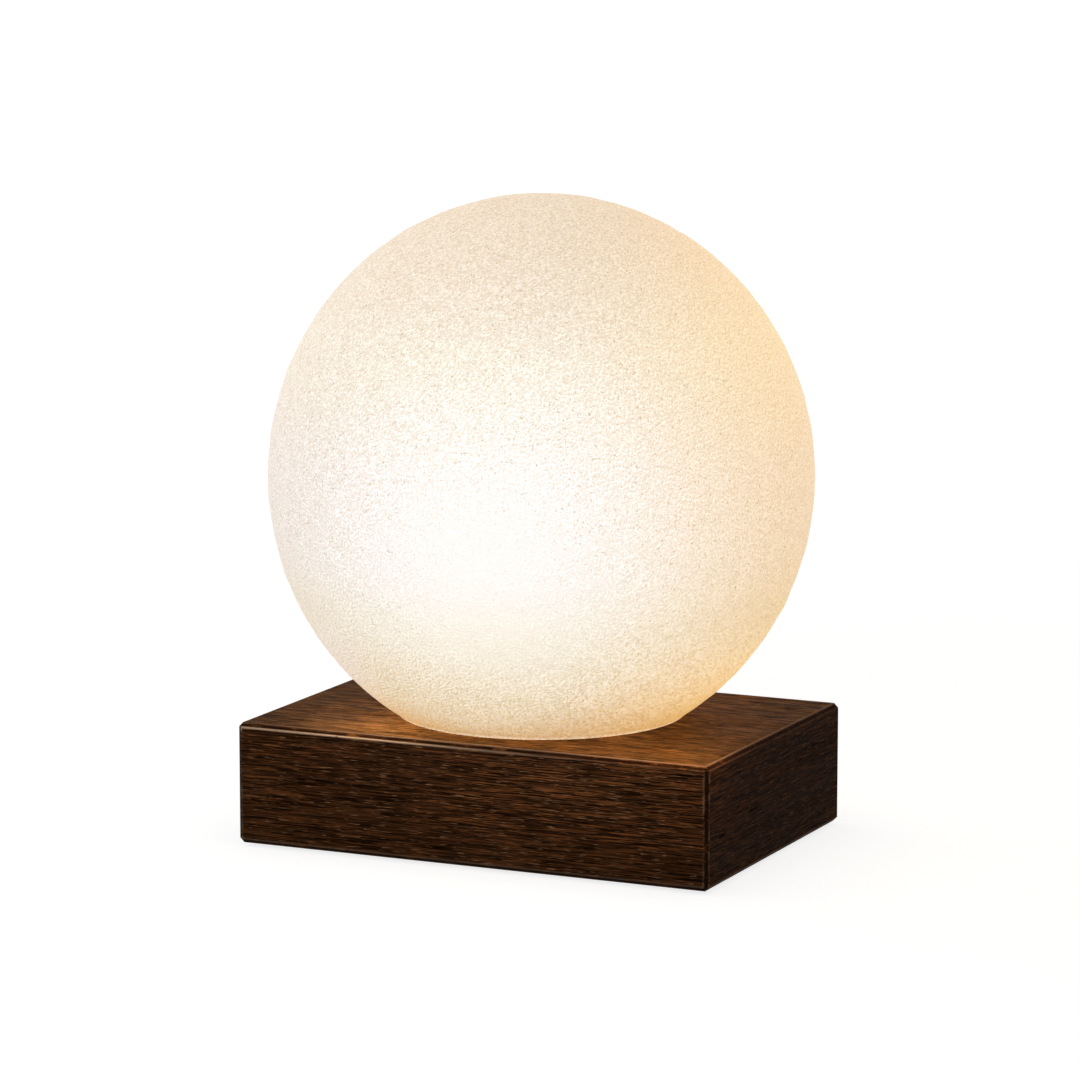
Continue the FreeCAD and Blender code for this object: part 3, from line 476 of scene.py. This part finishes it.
def turned_globe():
    mesh = bmesh.new()
    centre = Vector((0, 0, crown_level - globe_half_height))
    stretch = Matrix.LocRotScale(centre, None, (globe_half_width, globe_half_width, globe_half_height))
    bmesh.ops.create_icosphere(mesh, subdivisions=globe_divisions, radius=1, matrix=stretch)
    cut = foot_level + foot_ease
    everything = mesh.verts[:] + mesh.edges[:] + mesh.faces[:]
    bmesh.ops.bisect_plane(mesh, geom=everything, plane_co=(0, 0, cut), plane_no=(0, 0, 1), clear_inner=True)

    # Relief of the pressed grains, on the outside only.
    mesh.normal_update()
    for vert in mesh.verts:
        lumps = sum(noise.noise(vert.co * scale) * height for scale, height in lump_layers)
        vert.co += vert.normal * lumps * min(1, (vert.co.z - cut) / lumps_fade)

    # The rim is drawn in over the eased edge of the foot, across it, over the bevelled mouth and up the bore.
    rim = [edge for edge in mesh.edges if edge.is_boundary]
    radius = sum(vert.co.xy.length for edge in rim for vert in edge.verts) / (2 * len(rim))
    rings = [
        (radius - foot_ease * 0.4, foot_level + foot_ease * 0.25),
        (radius - foot_ease, foot_level),
        (bore_radius + mouth_bevel, foot_level),
        (bore_radius, foot_level + mouth_bevel),
        (bore_radius, springing_level),
    ]
    for step in range(1, dome_rings):
        turn = pi / 2 * step / dome_rings
        rings.append((bore_radius * cos(turn), springing_level + bore_radius * sin(turn)))
    level = cut
    for ring_radius, ring_level in rings:
        drawn = bmesh.ops.extrude_edge_only(mesh, edges=rim)["geom"]
        rim = [item for item in drawn if isinstance(item, bmesh.types.BMEdge)]
        verts = [item for item in drawn if isinstance(item, bmesh.types.BMVert)]
        bmesh.ops.scale(mesh, vec=(ring_radius / radius, ring_radius / radius, 1), verts=verts)
        bmesh.ops.translate(mesh, vec=(0, 0, ring_level - level), verts=verts)
        for edge in rim:
            edge.smooth = ring_level > foot_level + mouth_bevel
        radius, level = ring_radius, ring_level
    bmesh.ops.holes_fill(mesh, edges=rim, sides=len(rim))
    bmesh.ops.recalc_face_normals(mesh, faces=mesh.faces)
    for face in mesh.faces:
        face.smooth = True
    globe_mesh = bpy.data.meshes.new("pressed_globe")
    mesh.to_mesh(globe_mesh)
    mesh.free()
    globe = bpy.data.objects.new("pressed_globe", globe_mesh)
    bpy.context.collection.objects.link(globe)
    return globe


def remap_plain(tree, value, low, high):
    """Straight line from a range of a value to 0 and 1."""
    inputs = {"Value": value, "From Min": low, "From Max": high}
    return add(tree, "ShaderNodeMapRange", inputs).outputs[0]


def pressed_salt():
    salt_white = (0.84, 0.85, 0.88, 1)
    salt_grey = (0.75, 0.76, 0.8, 1)
    pit_brown = (0.42, 0.37, 0.31, 1)
    # Tints of the painted grain shading, and painted light on the right and low down.
    painted_shade_tint = (0.8, 0.73, 0.62, 1)
    painted_light_tint = (1.12, 1.16, 1.22, 1)
    amber_painted_light = (1.2, 1.04, 0.77, 1)
    amber_painted_tint = (1.0, 0.95, 0.84, 1)
    low_right_painted_light = (1.46, 1.55, 2.0, 1)
    low_left_painted_light = (1.2, 1.4, 2.6, 1)
    bright_spot = (0.020, -0.085, 0.098)
    above_foot = (0.045, 0.085)
    grain_scale, pit_scale = 1100, 1250

    material, tree, spot = new_material("pressed_salt")
    x, y, z = add(tree, "ShaderNodeSeparateXYZ", {0: spot}).outputs
    clumps = cloud(tree, spot, 280, 3, 0.6)
    crust = cloud(tree, spot, grain_scale, 3, 0.65)
    crust_above = cloud(tree, spot, grain_scale, 3, 0.65, shift=(0.00022, 0.00015, -0.0004))
    grains = remap(tree, crust, 0.32, 0.68)
    dust = cloud(tree, spot, 2000, 2, 0.6)
    pit = remap(tree, cloud(tree, spot, pit_scale, 2, 0.5, shift=(0.4, 0.8, 0.1)), 0.62, 0.71)

    # The glow is painted light in place of the bulb's light coming through, from the foot, with a painted highlight
    # on its rim, to the crown.
    painted_glow_ramp = add(tree, "ShaderNodeValToRGB", {0: remap_plain(tree, z, foot_level, crown_level)})
    steps = painted_glow_ramp.color_ramp.elements
    steps[0].position, steps[0].color = 0.0, (0.60, 0.39, 0.18, 1)
    steps[1].position, steps[1].color = 1.0, (0.61, 0.455, 0.29, 1)
    for position, colour in (
        (0.003, (0.60, 0.39, 0.18, 1)),
        (0.006, (0.43, 0.235, 0.04, 1)),
        (0.012, (0.503, 0.297, 0.077, 1)),
        (0.076, (0.54, 0.37, 0.15, 1)),
        (0.19, (0.545, 0.43, 0.258, 1)),
        (0.34, (0.565, 0.472, 0.385, 1)),
        (0.51, (0.585, 0.485, 0.4, 1)),
        (0.74, (0.635, 0.527, 0.374, 1)),
    ):
        steps.new(position).color = colour
    light = painted_glow_ramp.outputs[0]

    # Each grain is painted lighter on its upper side and darker below, as painted relief shading; this is strongest
    # near the foot.
    slope = maths(tree, "SUBTRACT", crust, crust_above)
    slope = maths(tree, "MULTIPLY", slope, remap(tree, z, *above_foot, 3.6, 0.6))
    shade = maths(tree, "MULTIPLY_ADD", clumps, 0.16, maths(tree, "MULTIPLY_ADD", grains, 0.14, slope))
    shade = maths(tree, "MULTIPLY", maths(tree, "ADD", shade, 0.85), remap(tree, pit, 0.0, 1.0, 1.0, 0.7))
    # The grain is painted fainter around a fixed spot where the narrow lamp makes the wall brightest, as a painted
    # highlight.
    away = add(tree, "ShaderNodeVectorMath", {0: spot, 1: bright_spot}, operation="DISTANCE").outputs["Value"]
    contrast = remap(tree, away, 0.01, 0.055, 0.12, 0.9)
    shade = maths(tree, "MULTIPLY_ADD", maths(tree, "SUBTRACT", shade, 1.0), contrast, 1.0)
    # The painted shade between the grains is warmer, and the painted light on their tops cooler.
    shade = blend_colours(tree, remap_plain(tree, shade, 0.75, 1.15), painted_shade_tint, painted_light_tint)
    light = blend_colours(tree, 1.0, light, shade, "MULTIPLY")

    # The glow is painted amber on the right, and paler low down on both sides, as painted light.
    amber = maths(tree, "ADD", maths(tree, "MULTIPLY", x, 0.91), maths(tree, "MULTIPLY", y, 0.42))
    amber = remap(tree, amber, 0.0, 0.085)
    low = remap(tree, z, *above_foot, 1.0, 0.0)
    low_right = maths(tree, "MULTIPLY", amber, low)
    low_left = maths(tree, "MULTIPLY", remap(tree, x, -0.02, -0.055), low)
    light = blend_colours(tree, amber, light, amber_painted_light, "MULTIPLY")
    light = blend_colours(tree, low_right, light, low_right_painted_light, "MULTIPLY")
    light = blend_colours(tree, low_left, light, low_left_painted_light, "MULTIPLY")

    pitted = maths(tree, "MULTIPLY", pit, maths(tree, "MULTIPLY", contrast, 0.65))
    colour = blend_colours(tree, grains, salt_grey, salt_white)
    colour = blend_colours(tree, pitted, colour, pit_brown)
    # The base colour carries the painted grain shading too, and is painted amber on the right with the glow.
    colour = blend_colours(tree, 1.0, colour, shade, "MULTIPLY")
    colour = blend_colours(tree, amber, colour, amber_painted_tint, "MULTIPLY")
    height = maths(tree, "ADD", grains, maths(tree, "MULTIPLY", dust, 0.35))
    height = maths(tree, "SUBTRACT", height, maths(tree, "MULTIPLY", pit, 0.6))
    finish_surface(tree, {
        "Base Color": colour, "Roughness": 0.75, "Normal": relief(tree, height, 0.6, 0.0006),
        "Emission Color": light, "Emission Strength": 1.0,
    })
    return material


globe = turned_globe()
globe.data.materials.append(pressed_salt())
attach(globe, "globe")
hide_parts("salt_globe")

# Light of the bulb: it reaches the pieces inside through the clear glass, and passes through the salt to the top of
# the block around the globe's foot. Two small lamps over the wood stand in for the light that the salt lets out.
lit = bpy.data.collections.new("lit_by_bulb")
shading = bpy.data.collections.new("shading_bulb")
for name, node in nodes.items():
    lit.objects.link(node)
    if name not in ("salt_globe", "foot_pad", "bulb_glass", "led_filaments"):
        shading.objects.link(node)
lit.objects.link(globe)
glow_lamp.light_linking.receiver_collection = lit
glow_lamp.light_linking.blocker_collection = shading

block = bpy.data.collections.new("block_alone")
block.objects.link(nodes["wood_base"])
for name, place, width, depth, power, colour in (
    ("foot_glow_left", (-0.036, -0.044, 0.062), 0.014, 0.020, 0.030, (1.0, 0.78, 0.5)),
    ("foot_glow_front", (0.042, -0.052, 0.064), 0.110, 0.014, 0.046, (1.0, 0.66, 0.33)),
):
    foot_glow = bpy.data.lights.new(name, "AREA")
    foot_glow.shape = "RECTANGLE"
    foot_glow.size, foot_glow.size_y = width, depth
    foot_glow.color = colour
    foot_glow.energy = power
    foot_lamp = place_lamp(foot_glow, place)
    hide_lamp(foot_lamp)
    foot_lamp.light_linking.receiver_collection = block
    foot_lamp.light_linking.blocker_collection = block

# Studio: a pale paper floor and a white surround, one soft lamp in front and one on the left, a narrow lamp on the
# bright spot of the globe, and the camera where the photograph was taken from.

floor_size = 40
lamp_blue = (0.82, 0.93, 1.0)
snoot_blue = (0.76, 0.90, 1.0)
lamp_target = (0, 0, 0.12)
snoot_target = (0.029, -0.083, 0.101)


def seen_directly(tree):
    """Where the camera, a reflection or glass shows the white itself, and not the light that it gives."""
    path = add(tree, "ShaderNodeLightPath").outputs
    seen = maths(tree, "MAXIMUM", path["Is Camera Ray"], path["Is Glossy Ray"])
    return maths(tree, "MAXIMUM", seen, path["Is Transmission Ray"])


def aim_lamp(lamp, target):
    lamp.rotation_euler = (Vector(target) - lamp.location).to_track_quat("-Z", "Y").to_euler()


def soft_lamp(name, place, size, energy):
    light = bpy.data.lights.new(name, "AREA")
    light.size = size
    light.energy = energy
    light.color = lamp_blue
    aim_lamp(place_lamp(light, place), lamp_target)


bpy.ops.mesh.primitive_plane_add(size=floor_size)
floor = bpy.context.object
floor.name = "floor"
paper, tree, spot = new_material("floor_paper")
spread = add(tree, "ShaderNodeVectorMath", {0: spot}, operation="LENGTH").outputs["Value"]
lift = maths(tree, "MULTIPLY", seen_directly(tree), remap(tree, spread, 0.2, 1.5, 0.80, 0.94))
finish_surface(tree, {
    "Base Color": (0.6, 0.6, 0.6, 1), "Roughness": 0.9, "Specular IOR Level": 0.0,
    "Emission Color": (1, 1, 1, 1), "Emission Strength": lift,
})
floor.data.materials.append(paper)

cool_side, warm_side = (0.95, 0.98, 1, 1), (1, 0.93, 0.82, 1)
surround = bpy.data.worlds.new("white_surround")
bpy.context.scene.world = surround
surround.use_nodes = True
tree = surround.node_tree
tree.nodes.clear()
seen = seen_directly(tree)
level = maths(tree, "MULTIPLY_ADD", seen, 0.7, 0.3)
way = add(tree, "ShaderNodeTexCoord").outputs["Generated"]
side = add(tree, "ShaderNodeSeparateXYZ", {0: way}).outputs[0]
tint = blend_colours(tree, maths(tree, "MULTIPLY_ADD", side, 0.5, 0.5), cool_side, warm_side)
tint = blend_colours(tree, seen, tint, (1, 1, 1, 1))
sky = add(tree, "ShaderNodeBackground", {"Color": tint, "Strength": level})
add(tree, "ShaderNodeOutputWorld", {"Surface": sky.outputs[0]})

soft_lamp("front_lamp", (0.0, -1.8, 0.25), 0.6, 5.6)
soft_lamp("left_lamp", (-1.63, 0, 0.88), 0.6, 2.6)
snoot = bpy.data.lights.new("snoot", "SPOT")
snoot.energy = 48.0
snoot.color = snoot_blue
snoot.spot_size = radians(6)
snoot.spot_blend = 1.0
snoot.shadow_soft_size = 0.02
aim_lamp(place_lamp(snoot, (0.523, -1.825, 0.186)), snoot_target)

camera_azimuth = radians(24.73)
camera_elevation = radians(12.95)
camera_distance = 1.640
camera_pitch = radians(9.553)
camera_swing = radians(0.0175)
camera = bpy.data.cameras.new("camera")
camera.lens = 163.6
camera.sensor_width = 36
viewer = bpy.data.objects.new("camera", camera)
block_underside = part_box("wood_base")[0].z
viewer.location = (
    camera_distance * cos(camera_elevation) * sin(camera_azimuth),
    -camera_distance * cos(camera_elevation) * cos(camera_azimuth),
    camera_distance * sin(camera_elevation) + block_underside,
)
viewer.rotation_euler = (pi / 2 - camera_pitch, 0, camera_azimuth + camera_swing)
bpy.context.collection.objects.link(viewer)
bpy.context.scene.camera = viewer
bpy.context.scene.view_settings.view_transform = "Standard"
